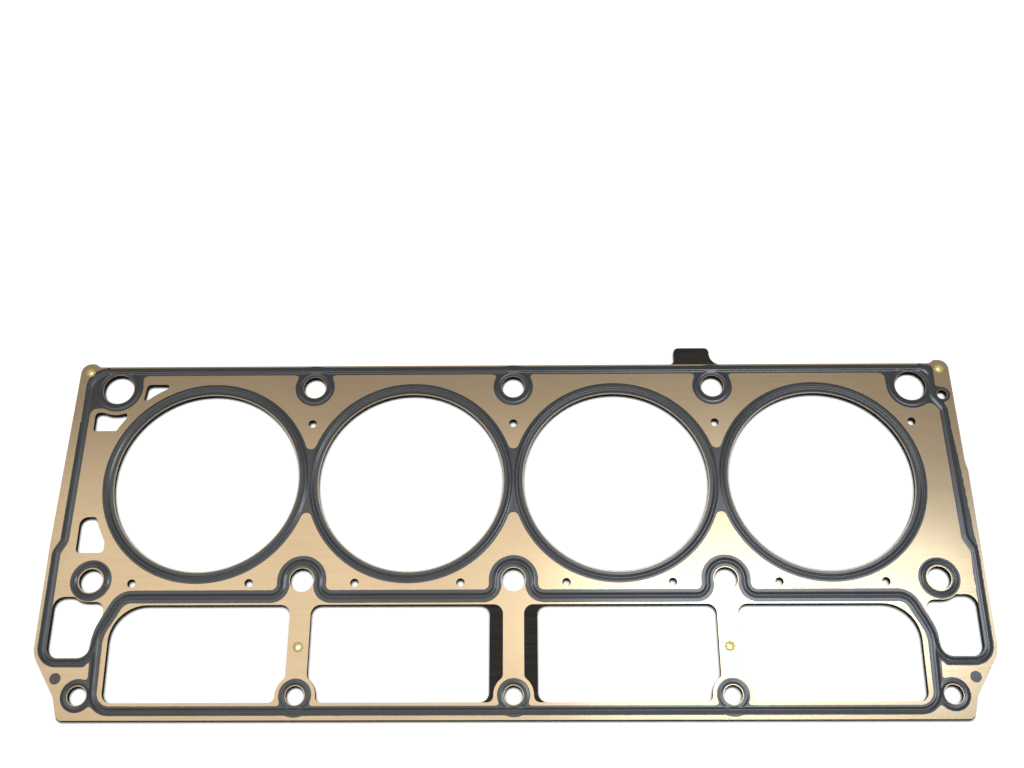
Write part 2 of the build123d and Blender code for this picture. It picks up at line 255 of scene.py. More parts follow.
def cut_net(field: np.ndarray, x_lines: np.ndarray, y_lines: np.ndarray) -> PlanMesh:
    """Cuts a grid of cells along the line where a field is zero.

    What is kept of a cell is the polygon met on a walk round it: each corner inside, and on each side
    where the field changes sign the point that divides it as the two values do.

    Args:
        field: depth at each grid point, by row and column, positive inside.
        x_lines: the columns' places.
        y_lines: the rows' places.

    Returns:
        The kept net, its triangles anticlockwise from above.
    """
    least_share = 0.08  # keeps slivers out of the net
    kept = field > 0
    across = kept[:, :-1] != kept[:, 1:]
    along = kept[:-1] != kept[1:]
    numbers = []
    first = 0
    for mask in (kept, across, along):
        number = np.full(mask.shape, -1)
        number[mask] = first + np.arange(mask.sum())
        numbers.append(number)
        first += mask.sum()
    node, on_row, on_column = numbers

    def crossings(mask: np.ndarray, step: tuple[int, int]) -> tuple[np.ndarray, np.ndarray]:
        """Finds where the field is zero between neighbours along one direction.

        Args:
            mask: true where the two have different signs.
            step: rows and columns from the first to the second.

        Returns:
            Rows and columns of the zeros, as fractions.
        """
        rows, columns = np.nonzero(mask)
        here = field[rows, columns]
        there = field[rows + step[0], columns + step[1]]
        share = np.clip(here / (here - there), least_share, 1 - least_share)
        return rows + share * step[0], columns + share * step[1]

    spots = [np.nonzero(kept), crossings(across, (0, 1)), crossings(along, (1, 0))]
    rows = np.concatenate([s[0] for s in spots])
    columns = np.concatenate([s[1] for s in spots])
    x = np.interp(columns, np.arange(len(x_lines)), x_lines)
    y = np.interp(rows, np.arange(len(y_lines)), y_lines)

    walk = (
        node[:-1, :-1], on_row[:-1], node[:-1, 1:], on_column[:, 1:],
        node[1:, 1:], on_row[1:], node[1:, :-1], on_column[:, :-1],
    )
    corners = [walk[i] >= 0 for i in (0, 2, 4, 6)]
    case = sum(corner.astype(int) << i for i, corner in enumerate(corners))
    triangles = []
    rim = []
    for code in range(1, 16):
        inside = [bool(code >> i & 1) for i in range(4)]
        stops = []
        for i in range(4):
            if inside[i]:
                stops.append(2 * i)
            if inside[i] != inside[(i + 1) % 4]:
                stops.append(2 * i + 1)
        cells = case == code
        ring = [walk[stop][cells] for stop in stops]
        for i in range(1, len(stops) - 1):
            triangles.append(np.stack([ring[0], ring[i], ring[i + 1]], 1))
        for i, stop in enumerate(stops):
            after = (i + 1) % len(stops)
            if stop % 2 and stops[after] % 2:
                rim.append(np.stack([ring[i], ring[after]], 1))
    return PlanMesh(x, y, np.concatenate(triangles), np.concatenate(rim))


def ring_net(place: tuple[float, float], radii: np.ndarray, angles: np.ndarray) -> PlanMesh:
    """A net of rows round a centre, each row a closed loop.

    A point is the centre plus its radius times the cosine and sine of its angle.

    Args:
        place: the centre.
        radii: radius of each point, by row from the inside out and by angle.
        angles: the angles, once round without the last one repeated.

    Returns:
        The net, its triangles anticlockwise from above.
    """
    rows, count = radii.shape
    number = np.arange(rows * count).reshape(rows, count)
    inner, outer = number[:-1], number[1:]
    inner_next, outer_next = np.roll(inner, -1, 1), np.roll(outer, -1, 1)
    quads = np.stack([inner, outer, outer_next, inner_next], -1).reshape(-1, 4)
    triangles = np.concatenate([quads[:, [0, 1, 2]], quads[:, [0, 2, 3]]])
    outside = np.stack([number[-1], np.roll(number[-1], -1)], 1)
    inside = np.stack([np.roll(number[0], -1), number[0]], 1)
    x = place[0] + (radii * np.cos(angles)).ravel()
    y = place[1] + (radii * np.sin(angles)).ravel()
    return PlanMesh(x, y, triangles, np.concatenate([outside, inside]))


def joined(nets: list[PlanMesh]) -> PlanMesh:
    """Puts several nets together, their numbers shifted past one another.

    Args:
        nets: the nets.

    Returns:
        One net that holds them all.
    """
    shifts = np.cumsum([0] + [len(net.x) for net in nets[:-1]])
    return PlanMesh(
        np.concatenate([net.x for net in nets]),
        np.concatenate([net.y for net in nets]),
        np.concatenate([net.triangles + shift for net, shift in zip(nets, shifts)]),
        np.concatenate([net.rim + shift for net, shift in zip(nets, shifts)]),
    )


def mesh_object(name: str, points: np.ndarray, triangles: np.ndarray, sharp_deg: float) -> bpy.types.Object:
    """Makes an object from whole arrays.

    Args:
        name: the piece's name.
        points: places in millimetres, one row each.
        triangles: point numbers, outward side anticlockwise.
        sharp_deg: edges that turn by more than this stay sharp.

    Returns:
        The object, at the origin, in the scene.
    """
    mesh = bpy.data.meshes.new(name)
    mesh.vertices.add(len(points))
    mesh.vertices.foreach_set("co", (points * MM).astype(np.float32).ravel())
    mesh.loops.add(3 * len(triangles))
    mesh.loops.foreach_set("vertex_index", triangles.astype(np.int32).ravel())
    mesh.polygons.add(len(triangles))
    mesh.polygons.foreach_set("loop_start", np.arange(len(triangles), dtype=np.int32) * 3)
    mesh.update(calc_edges=True)
    mesh.validate()
    mesh.shade_smooth()
    mesh.set_sharp_from_angle(angle=math.radians(sharp_deg))
    piece = bpy.data.objects.new(name, mesh)
    bpy.context.scene.collection.objects.link(piece)
    return piece


def layer_object(
    name: str, net: PlanMesh, top: np.ndarray, thickness: float, face: Face
) -> bpy.types.Object:
    """Makes a closed thin layer over a net: its top, its underside and the wall round its rim.

    The underside is the top lowered by the thickness. For the lower face all heights change sign and
    the triangles turn round.

    Args:
        name: the piece's name.
        net: the layer's plan.
        top: height of the top at each point.
        thickness: the layer's thickness.
        face: the face of the gasket that it lies on.

    Returns:
        The object.
    """
    count = len(net.x)
    upper = np.stack([net.x, net.y, top], 1)
    under = upper - [0, 0, thickness]
    a, b = net.rim[:, 0], net.rim[:, 1]
    walls = np.concatenate([
        np.stack([a, a + count, b + count], 1),
        np.stack([a, b + count, b], 1),
    ])
    triangles = np.concatenate([net.triangles, net.triangles[:, ::-1] + count, walls])
    points = np.concatenate([upper, under])
    if face is Face.LOWER:
        points = points * [1, 1, -1]
        triangles = triangles[:, ::-1]
    return mesh_object(name, points, triangles, sharp_deg=50)


def soft_noise(shape: tuple[int, int], spread: int, seed: int) -> np.ndarray:
    """Even random values blurred over a few cells, with a spread of one.

    Each pass replaces a value by the mean of itself and its four neighbours.

    Args:
        shape: rows and columns.
        spread: how many passes.
        seed: the seed of the draw.

    Returns:
        The blurred values.
    """
    values = np.random.default_rng(seed).normal(size=shape)
    for _ in range(spread):
        values = (
            values + np.roll(values, 1, 0) + np.roll(values, -1, 0)
            + np.roll(values, 1, 1) + np.roll(values, -1, 1)
        ) / 5
    return values / values.std()


# Plan of the gasket


@dataclass(frozen=True)
class Plan:
    """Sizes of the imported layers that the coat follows, in millimetres."""

    bore_pitch: float = 111.76
    bolt_y: float = 54.8
    bolt_radius: float = 6.3
    dowel_x: float = 222.72
    dowel_y: float = 54.3
    dowel_radius: float = 8.6
    screw_pitch: float = 111.3
    screw_y: float = -114.1
    screw_radius: float = 4.8
    vent_x: float = 239.82
    vent_y: float = 49.0
    vent_radius: float = 2.7
    sheet_top: float = 1.3
    bore_bead_radius: float = 54.15
    bolt_bead_radius: float = 8.7
    hump_radius: float = 9.6
    hump_root: float = 6.4
    window_bead_y: float = -63.55
    rail_bead_y: float = -121.7
    edge_bead_y: float = 64.8

    def bores(self) -> list[tuple[float, float]]:
        """Centres of the four bores."""
        return [((i - 1.5) * self.bore_pitch, 0.0) for i in range(4)]

    def top_bolts(self) -> list[tuple[float, float]]:
        """Centres of the three bolt holes on the side of the tab."""
        return [(i * self.bore_pitch, self.bolt_y) for i in (-1, 0, 1)]

    def middle_bolts(self) -> list[tuple[float, float]]:
        """Centres of the three inner bolt holes above the windows."""
        return [(i * self.bore_pitch, -self.bolt_y) for i in (-1, 0, 1)]

    def end_bolts(self) -> list[tuple[float, float]]:
        """Centres of the two end bolt holes above the end passages."""
        return [(side * 2 * self.bore_pitch, -self.bolt_y) for side in (-1, 1)]

    def screws(self) -> list[tuple[float, float]]:
        """Centres of the five screw holes on the rail."""
        return [(i * self.screw_pitch, self.screw_y) for i in (-2, -1, 0, 1, 2)]

    def window_line(self) -> RoundedLine:
        """Draws the strip round the windows, with a hump over each bolt.

        Returns:
            Its closed centreline.
        """
        crown = -self.bolt_y + self.hump_radius
        corners = []
        for x, _ in self.middle_bolts():
            corners += [
                (x - self.hump_radius, self.window_bead_y, self.hump_root),
                (x - self.hump_radius, crown, self.hump_radius),
                (x + self.hump_radius, crown, self.hump_radius),
                (x + self.hump_radius, self.window_bead_y, self.hump_root),
            ]
        right = [(206.02, self.window_bead_y, 9.0), (216.22, -83.5, 20.0), (214.62, self.rail_bead_y, 9.8)]
        left = [(-x, y, radius) for x, y, radius in reversed(right)]
        return RoundedLine(tuple(corners + right + left), closed=True)

    def edge_line(self) -> RoundedLine:
        """Draws the strip along the top edge and both sides.

        Returns:
            Its open centreline.
        """
        side = [(240.72, -33.0, 5.0), (244.12, -39.5, 5.0), (244.12, -97.5, 8.6), (222.02, -97.5, 0.0)]
        mirrored = [(-x, y, radius) for x, y, radius in reversed(side)]
        left_top = [(-239.12, self.edge_bead_y, 10.5)]
        right_top = [(234.32, self.edge_bead_y, 5.0), (234.32, 47.5, 4.5), (239.32, 40.5, 4.5)]
        return RoundedLine(tuple(mirrored + left_top + right_top + side))

    def joining_lines(self) -> list[RoundedLine]:
        """Draws what leads the lower ends of the side strips up into the window strip.

        Returns:
            One centreline for each side.
        """
        return [
            RoundedLine(((side * 232.0, -97.5, 0.0), (side * 218.2, -97.5, 8.5), (side * 215.9, -84.0, 0.0)))
            for side in (-1, 1)
        ]


@dataclass(frozen=True)
class Bead:
    """Section of an embossed bead as the coat rounds it over."""

    half_width: float
    height: float
    rise: float
    crown_curve: float = 0.28
    crest_share: float = 0.2
    foot: float = 0.25
    blend: float = 0.08

    def over(self, off: np.ndarray) -> np.ndarray:
        """Height of the coated bead at a distance from its centreline.

        The crown is a shallow parabola and the flank a straight slope, and the lower of the two counts,
        rounded where they cross.

        Args:
            off: distance from the centreline.

        Returns:
            The height above the sheet, negative beyond the foot.
        """
        crown = self.height + self.rise - self.crown_curve * off ** 2
        flank = self.height * (self.half_width + self.foot - off)
        flank = flank / (self.half_width * (1 - self.crest_share))
        return smooth_min(crown, flank, self.blend)


# Finishes


@dataclass(frozen=True)
class SpringSteel:
    """Cold-rolled spring steel under a clear tan lacquer: a soft metal gleam with faint rolling lines.

    Upright cut edges get painted shade: a dark colour without metal or lacquer gloss.
    """

    name: str = "rolled_spring_steel_lacquered"
    light: str = "#dfc39a"
    deep: str = "#d5b88f"
    # Painted shade on the upright cut edges.
    edge: str = "#4e4437"
    roughness: float = 0.22
    lacquer_ior: float = 1.5
    rolling_mm: float = 0.5
    rolling_stretch: float = 0.02
    groove_mm: float = 0.02
    cloud_mm: float = 60.0

    def material(self) -> bpy.types.Material:
        """Builds the finish.

        Returns:
            The material.
        """
        made, tree, shader = new_material(self.name)
        place = add_node(tree, "ShaderNodeTexCoord").outputs["Object"]
        drawn = add_node(
            tree, "ShaderNodeMapping", {"Scale": (self.rolling_stretch, 1.0, 1.0)}, {"Vector": place}
        ).outputs["Vector"]
        lines = add_node(
            tree, "ShaderNodeTexNoise", {"Scale": 1 / (self.rolling_mm * MM), "Detail": 2.0},
            {"Vector": drawn},
        ).outputs["Fac"]
        clouds = add_node(
            tree, "ShaderNodeTexNoise", {"Scale": 1 / (self.cloud_mm * MM), "Detail": 3.0},
            {"Vector": place},
        ).outputs["Fac"]
        mixed = add_node(
            tree, "ShaderNodeMath", {"operation": "MULTIPLY_ADD", 1: 0.2}, {0: lines, 2: clouds}
        ).outputs[0]
        tone = add_node(
            tree, "ShaderNodeMapRange", {"From Min": 0.4, "From Max": 0.8}, {"Value": mixed}
        ).outputs[0]
        colour = add_node(
            tree, "ShaderNodeMix",
            {"data_type": "RGBA", 6: linear(self.light), 7: linear(self.deep)}, {0: tone},
        ).outputs[2]
        rough = add_node(
            tree, "ShaderNodeMapRange",
            {"From Min": 0.3, "From Max": 0.7, "To Min": self.roughness - 0.02,
             "To Max": self.roughness + 0.02},
            {"Value": lines},
        ).outputs[0]
        bump = add_node(
            tree, "ShaderNodeBump", {"Strength": 0.06, "Distance": self.groove_mm * MM}, {"Height": lines}
        ).outputs["Normal"]
        add_links(tree, shader, {"Roughness": rough, "Normal": bump})
        shader.inputs["Metallic"].default_value = 1.0
        shader.inputs["Specular IOR Level"].default_value = 0.0
        shader.inputs["Coat Weight"].default_value = 1.0
        shader.inputs["Coat Roughness"].default_value = self.roughness
        shader.inputs["Coat IOR"].default_value = self.lacquer_ior
        paint_wall_shade(tree, shader, colour, self.edge)
        return made


@dataclass(frozen=True)
class PrintedRubber:
    """Screen-printed fluoro rubber: a dark grey satin film with a fine grain and paler worn spots."""

    name: str = "screen_printed_rubber"
    dark: str = "#292b2d"
    pale: str = "#35373a"
    roughness: float = 0.21
    ior: float = 1.9
    grain_mm: float = 0.45
    grain_depth_mm: float = 0.02
    cloud_mm: float = 18.0

    def material(self) -> bpy.types.Material:
        """Builds the finish.

        Returns:
            The material.
        """
        made, tree, shader = new_material(self.name)
        place = add_node(tree, "ShaderNodeTexCoord").outputs["Object"]
        grain = add_node(
            tree, "ShaderNodeTexNoise", {"Scale": 1 / (self.grain_mm * MM), "Detail": 3.0},
            {"Vector": place},
        ).outputs["Fac"]
        clouds = add_node(
            tree, "ShaderNodeTexNoise", {"Scale": 1 / (self.cloud_mm * MM), "Detail": 2.0},
            {"Vector": place},
        ).outputs["Fac"]
        mixed = add_node(
            tree, "ShaderNodeMath", {"operation": "MULTIPLY_ADD", 1: 0.6}, {0: grain, 2: clouds}
        ).outputs[0]
        tone = add_node(
            tree, "ShaderNodeMapRange", {"From Min": 0.6, "From Max": 1.0}, {"Value": mixed}
        ).outputs[0]
        colour = add_node(
            tree, "ShaderNodeMix",
            {"data_type": "RGBA", 6: linear(self.dark), 7: linear(self.pale)}, {0: tone},
        ).outputs[2]
        rough = add_node(
            tree, "ShaderNodeMapRange",
            {"From Min": 0.3, "From Max": 0.7, "To Min": self.roughness - 0.03,
             "To Max": self.roughness + 0.04},
            {"Value": grain},
        ).outputs[0]
        bump = add_node(
            tree, "ShaderNodeBump", {"Strength": 0.15, "Distance": self.grain_depth_mm * MM},
            {"Height": grain},
        ).outputs["Normal"]
        add_links(tree, shader, {"Base Color": colour, "Roughness": rough, "Normal": bump})
        shader.inputs["IOR"].default_value = self.ior
        return made


@dataclass(frozen=True)
class CoatedCore:
    """Steel plate dipped in thin black rubber: a dull grain on the faces, and upright edges painted nearly
    black as shade.
    """

    name: str = "rubber_dipped_steel"
    dark: str = "#38352f"
    pale: str = "#47443d"
    # Painted shade on the upright edges, darker than the rubber.
    edge: str = "#0b0a09"
    roughness: float = 0.7
    gloss: float = 0.1
    grain_mm: float = 0.8
    grain_depth_mm: float = 0.04
    streak_mm: float = 1.4
    streak_stretch: float = 0.05

    def material(self) -> bpy.types.Material:
        """Builds the finish.

        Returns:
            The material.
        """
        made, tree, shader = new_material(self.name)
        place = add_node(tree, "ShaderNodeTexCoord").outputs["Object"]
        grain = add_node(
            tree, "ShaderNodeTexNoise", {"Scale": 1 / (self.grain_mm * MM), "Detail": 4.0},
            {"Vector": place},
        ).outputs["Fac"]
        drawn = add_node(
            tree, "ShaderNodeMapping", {"Scale": (self.streak_stretch, 1.0, 1.0)}, {"Vector": place}
        ).outputs["Vector"]
        streaks = add_node(
            tree, "ShaderNodeTexNoise", {"Scale": 1 / (self.streak_mm * MM), "Detail": 2.0},
            {"Vector": drawn},
        ).outputs["Fac"]
        mixed = add_node(
            tree, "ShaderNodeMath", {"operation": "MULTIPLY_ADD", 1: 0.4}, {0: grain, 2: streaks}
        ).outputs[0]
        tone = add_node(
            tree, "ShaderNodeMapRange", {"From Min": 0.5, "From Max": 0.9}, {"Value": mixed}
        ).outputs[0]
        colour = add_node(
            tree, "ShaderNodeMix",
            {"data_type": "RGBA", 6: linear(self.dark), 7: linear(self.pale)}, {0: tone},
        ).outputs[2]
        bump = add_node(
            tree, "ShaderNodeBump", {"Strength": 0.2, "Distance": self.grain_depth_mm * MM},
            {"Height": grain},
        ).outputs["Normal"]
        add_links(tree, shader, {"Normal": bump})
        shader.inputs["Roughness"].default_value = self.roughness
        shader.inputs["Specular IOR Level"].default_value = self.gloss
        paint_wall_shade(tree, shader, colour, self.edge)
        return made


@dataclass(frozen=True)
class PlainMetal:
    """A bare metal with turning or rolling marks: two tones, a roughness and perhaps cut edges darkened by
    painted shade.
    """

    name: str
    deep: str
    light: str
    roughness: float
    grain_mm: float
    edge: str | None = None
    grain_depth_mm: float = 0.03

    def material(self) -> bpy.types.Material:
        """Builds the finish.

        Returns:
            The material.
        """
        made, tree, shader = new_material(self.name)
        place = add_node(tree, "ShaderNodeTexCoord").outputs["Object"]
        grain = add_node(
            tree, "ShaderNodeTexNoise", {"Scale": 1 / (self.grain_mm * MM), "Detail": 3.0},
            {"Vector": place},
        ).outputs["Fac"]
        colour = add_node(
            tree, "ShaderNodeMix",
            {"data_type": "RGBA", 6: linear(self.deep), 7: linear(self.light)}, {0: grain},
        ).outputs[2]
        bump = add_node(
            tree, "ShaderNodeBump", {"Strength": 0.15, "Distance": self.grain_depth_mm * MM},
            {"Height": grain},
        ).outputs["Normal"]
        add_links(tree, shader, {"Base Color": colour, "Normal": bump})
        shader.inputs["Metallic"].default_value = 1.0
        shader.inputs["Roughness"].default_value = self.roughness
        if self.edge:
            shader.inputs["Specular IOR Level"].default_value = 0.0
            paint_wall_shade(tree, shader, colour, self.edge)
        return made


# Stopper ring steel: its pale tones are partly the steel's own and partly a painted highlight on the thin
# rim; the last colour is painted shade on the upright walls.
ROLLED_STEEL = PlainMetal("rolled_stopper_steel", "#e6d9c2", "#f4ead6", 0.6, 1.5, "#171411")
BRASS = PlainMetal("pressed_brass", "#b9a648", "#f3e596", 0.42, 0.9)


def new_material(name: str) -> tuple[bpy.types.Material, bpy.types.NodeTree, bpy.types.Node]:
    """Starts a material.

    Args:
        name: the finish's name.

    Returns:
        The material, its node tree and its shader.
    """
    made = bpy.data.materials.new(name)
    made.use_nodes = True
    return made, made.node_tree, made.node_tree.nodes["Principled BSDF"]


def add_links(tree: bpy.types.NodeTree, node: bpy.types.Node, links: dict) -> None:
    """Feeds some inputs of a node that is already there."""
    for key, source in links.items():
        tree.links.new(source, node.inputs[key])


def paint_wall_shade(
    tree: bpy.types.NodeTree, shader: bpy.types.Node, colour: bpy.types.NodeSocket, edge: str
) -> None:
    """Paints shade where the surface stands upright: a dull dark finish on cut edges and the walls of holes.

    Args:
        tree: the node tree.
        shader: the finish's shader, which gets its colour here. On the edge its metal and lacquer fade out.
        colour: the colour of the flat faces.
        edge: the colour of the painted shade on upright faces.
    """
    # Painted shade: upright faces take the edge colour, and their metal and lacquer gloss fade out.
    normal = add_node(tree, "ShaderNodeNewGeometry").outputs["Normal"]
    upright = add_node(tree, "ShaderNodeSeparateXYZ", {}, {0: normal}).outputs["Z"]
    flat = add_node(tree, "ShaderNodeMath", {"operation": "ABSOLUTE"}, {0: upright}).outputs[0]
    share = add_node(
        tree, "ShaderNodeMapRange", {"From Min": 0.3, "From Max": 0.6}, {"Value": flat}
    ).outputs[0]
    shown = add_node(
        tree, "ShaderNodeMix", {"data_type": "RGBA", 6: linear(edge)}, {0: share, 7: colour}
    ).outputs[2]
    add_links(tree, shader, {"Base Color": shown})
    for gloss in ("Metallic", "Coat Weight"):
        if shader.inputs[gloss].default_value:
            add_links(tree, shader, {gloss: share})


# Sub-assemblies


@dataclass
class PressedLayers:
    """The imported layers, which keep their meshes and get their finishes."""

    upper: SpringSteel = SpringSteel()
    # The lower sheet's upright edges get a darker painted shade.
    lower: SpringSteel = SpringSteel(name="rolled_spring_steel_shaded_edge", edge="#1f1b17")
    core: CoatedCore = CoatedCore()
    stopper: PlainMetal = ROLLED_STEEL

    def dress(self) -> None:
        """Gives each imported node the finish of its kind."""
        finishes = {
            "upper_bead_sheet": self.upper.material(),
            "lower_bead_sheet": self.lower.material(),
            "core_plate": self.core.material(),
            "stopper_ring_1": self.stopper.material(),
        }
        for number in (2, 3, 4):
            finishes[f"stopper_ring_{number}"] = finishes["stopper_ring_1"]
        for name, finish in finishes.items():
            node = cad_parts[name]
            node.data.materials.clear()
            node.data.materials.append(finish)
            log.info("dressed %s", name)


@dataclass
class PrintedCoat:
    """The dark rubber print: strips, rings and patches that follow the beads on both faces.

    A patch is the radius of the print round a hole, and a cap that of the wider print on the hole's outer
    side, beyond the cap's line. A ridge is the radius of a low ridge round a hole. A fillet rounds the notch
    where two shapes of the print meet.
    """

    plan: Plan = Plan()
    finish: PrintedRubber = PrintedRubber()
    bore_bead: Bead = Bead(1.5, 0.5, 0.052)
    track_bead: Bead = Bead(1.3, 0.4, 0.08)
    cell: float = 0.57
    film: float = 0.08
    thickness: float = 0.12
    strip_half: float = 2.35
    rim: float = 0.35
    bore_inner: float = 50.95
    bore_outer: float = 56.75
    wedge_radius: float = 3.0
    round_steps: int = 288
    wedge_from_deg: float = 17.6
    wedge_to_deg: float = 21.6
    bolt_patch: float = 11.1
    bolt_cap: float = 13.1
    bolt_cap_line: float = 62.0
    screw_patch: float = 8.45
    screw_cap: float = 10.9
    screw_cap_line: float = -119.3
    dowel_patch: float = 13.3
    vent_patch: float = 4.5
    patch_top: float = 67.1
    left_patch: float = -241.5
    left_round: float = 10.5
    right_patch: float = 236.5
    right_limit: float = 236.7
    right_round: float = 3.0
    side_foot: float = -99.0
    bolt_fillet: float = 3.5
    screw_fillet: float = 2.5
    vent_fillet: float = 2.0
    patch_fillet: float = 1.5
    side_fillet: float = 1.0
    corner_fillet: float = 5.0
    bead_fillet: float = 0.1
    ring_fillet: float = 0.06
    dab_radius: float = 1.0
    screw_ridge: float = 6.7
    dowel_ridge: float = 11.0
    ridge_height: float = 0.22
    ridge_curve: float = 0.2
    end_ring_rim: float = 0.5
    end_ring: float = 11.0
    dot_x: float = 234.9
    dot_y: float = -105.5
    dot_radius: float = 2.9
    dot_cell: float = 0.3
    uneven_mm: float = 0.025
    ragged_mm: float = 0.1

    def window_half(self, y: np.ndarray) -> np.ndarray:
        """Half-width of the window strip, which narrows from its top down to the rail."""
        return np.interp(y, [-119.0, -105.0, -87.0, -70.0], [2.4, 2.75, 3.0, 3.4])

    def right_overprint(self, x: np.ndarray, y: np.ndarray) -> np.ndarray:
        """Depth inside the wider print along the right side, bounded outside by a slanted line.

        Args:
            x: places across.
            y: places up.

        Returns:
            The depth, positive inside.
        """
        rows = [-80.0, -60.0, -40.0, -28.0, -20.0, 0.0, 25.0]
        outer = np.interp(y, rows, [246.2, 246.5, 246.4, 245.1, 244.9, 244.0, 242.3])
        inner = np.interp(y, [-42.0, -32.0], [243.5, 240.5])
        return np.minimum(np.minimum(outer - x, x - inner), np.minimum(28 - y, y + 84))

    def corner_limits(self, x: np.ndarray, y: np.ndarray) -> np.ndarray:
        """Depth inside the outlines that stop the print at both upper corners.

        Two dabs run over the top outline, out to the edge of the sheet.

        Args:
            x: places across.
            y: places up.

        Returns:
            The depth, positive inside.
        """
        left_box = (self.left_patch, self.side_foot), (0.0, self.patch_top)
        right_box = (0.0, self.side_foot), (self.right_limit, self.patch_top)
        left = rounded_box(x, y, *left_box, self.left_round)
        right = rounded_box(x, y, *right_box, self.right_round)
        dab_places = ((-230.2, 66.9), (229.7, 66.9))
        dabs = np.maximum(*[disc(x, y, place, self.dab_radius) for place in dab_places])
        limit = np.where((x < -200) & (y > 35), left, np.inf)
        limit = np.where((x > 200) & (y > 54), right, limit)
        return np.maximum(limit, dabs)

    def depth(self, x: np.ndarray, y: np.ndarray) -> np.ndarray:
        """Depth inside the joined strips, rings and patches.

        A strip's depth is its half-width less the distance from its centreline. Depths join by a
        rounded maximum, which leaves a fillet in each notch, and each hole's rim is taken off.

        Args:
            x: places across.
            y: places up.

        Returns:
            The depth, positive on the print.
        """
        plan = self.plan
        depth = self.window_half(y) - plan.window_line().distance(x, y)
        depth = smooth_max(depth, self.strip_half - plan.edge_line().distance(x, y), self.side_fillet)
        for line in plan.joining_lines():
            depth = np.maximum(depth, self.strip_half - line.distance(x, y))
        depth = np.maximum(depth, self.right_overprint(x, y))
        for place in plan.top_bolts():
            depth = smooth_max(depth, disc(x, y, place, self.bolt_patch), self.bolt_fillet)
            cap = np.minimum(disc(x, y, place, self.bolt_cap), y - self.bolt_cap_line)
            depth = np.maximum(depth, cap)
        for place in plan.screws():
            depth = smooth_max(depth, disc(x, y, place, self.screw_patch), self.screw_fillet)
        for place in plan.screws()[1:-1]:
            cap = np.minimum(disc(x, y, place, self.screw_cap), self.screw_cap_line - y)
            depth = np.maximum(depth, cap)
        left_box = (self.left_patch, 45.0), (-209.4, self.patch_top)
        left = smooth_max(
            disc(x, y, (-plan.dowel_x, plan.dowel_y), self.dowel_patch),
            rounded_box(x, y, *left_box, self.left_round), self.patch_fillet,
        )
        left_foot = rounded_box(x, y, (self.left_patch, 42.9), (-229.0, 56.0), 0.5)
        left = smooth_max(left, left_foot, self.side_fillet)
        right_box = (209.4, 54.0), (self.right_patch, self.patch_top)
        right = smooth_max(
            disc(x, y, (plan.dowel_x, plan.dowel_y), self.dowel_patch),
            rounded_box(x, y, *right_box, self.right_round), self.patch_fillet,
        )
        depth = smooth_max(depth, left, self.corner_fillet)
        depth = smooth_max(depth, right, self.corner_fillet)
        vent = disc(x, y, (plan.vent_x, plan.vent_y), self.vent_patch)
        depth = smooth_max(depth, vent, self.vent_fillet)
        depth = np.minimum(depth, self.corner_limits(x, y))
        return np.minimum(depth, self.rim_depth(x, y))

    def rim_depth(self, x: np.ndarray, y: np.ndarray) -> np.ndarray:
        """Distance outside the bare rims of all holes that the print surrounds.

        Args:
            x: places across.
            y: places up.

        Returns:
            The distance, negative inside a rim.
        """
        plan = self.plan
        rims = [(place, plan.bolt_radius + self.rim) for place in plan.top_bolts() + plan.middle_bolts()]
        rims += [(place, plan.screw_radius + self.rim) for place in plan.screws()]
        rims += [((side * plan.dowel_x, plan.dowel_y), plan.dowel_radius + self.rim) for side in (-1, 1)]
        rims.append(((plan.vent_x, plan.vent_y), plan.vent_radius + self.rim))
        outside = np.full(np.shape(x), np.inf)
        for place, radius in rims:
            outside = np.minimum(outside, -disc(x, y, place, radius))
        return outside

    def top(self, x: np.ndarray, y: np.ndarray) -> np.ndarray:
        """Height of the print's upper side.

        It is the sheet plus the film, or the rounded bead where that is higher. Low ridges run round
        the bolt, screw and dowel holes.

        Args:
            x: places across.
            y: places up.

        Returns:
            The height.
        """
        plan = self.plan
        lift = self.track_bead.over(plan.window_line().distance(x, y))
        for line in [plan.edge_line(), *plan.joining_lines()]:
            lift = np.maximum(lift, self.track_bead.over(line.distance(x, y)))
        ridges = [(place, plan.bolt_bead_radius) for place in plan.top_bolts()]
        ridges += [(place, self.screw_ridge) for place in plan.screws()]
        ridges += [((side * plan.dowel_x, plan.dowel_y), self.dowel_ridge) for side in (-1, 1)]
        for place, radius in ridges:
            off = np.hypot(x - place[0], y - place[1]) - radius
            lift = np.maximum(lift, self.ridge_height - self.ridge_curve * off ** 2)
        return plan.sheet_top + smooth_max(lift, np.full_like(lift, self.film), self.bead_fillet)

    def track_net(self) -> PlanMesh:
        """Cuts the net of the joined strips, its outline slightly uneven as a screen print's is.

        Returns:
            The net.
        """
        x_lines = np.arange(-250.0, 250.0, self.cell)
        y_lines = np.arange(-128.0, 70.0, self.cell)
        x, y = np.meshgrid(x_lines, y_lines)
        depth = self.depth(x, y)
        uneven = self.uneven_mm * soft_noise(x.shape, 4, seed=3)
        ragged = self.ragged_mm * soft_noise(x.shape, 3, seed=4)
        on_right = (x > 241.5) & (y < 35.0) & (y > -70.0)
        depth = depth + uneven + np.where(on_right, ragged, 0)
        return cut_net(depth, x_lines, y_lines)

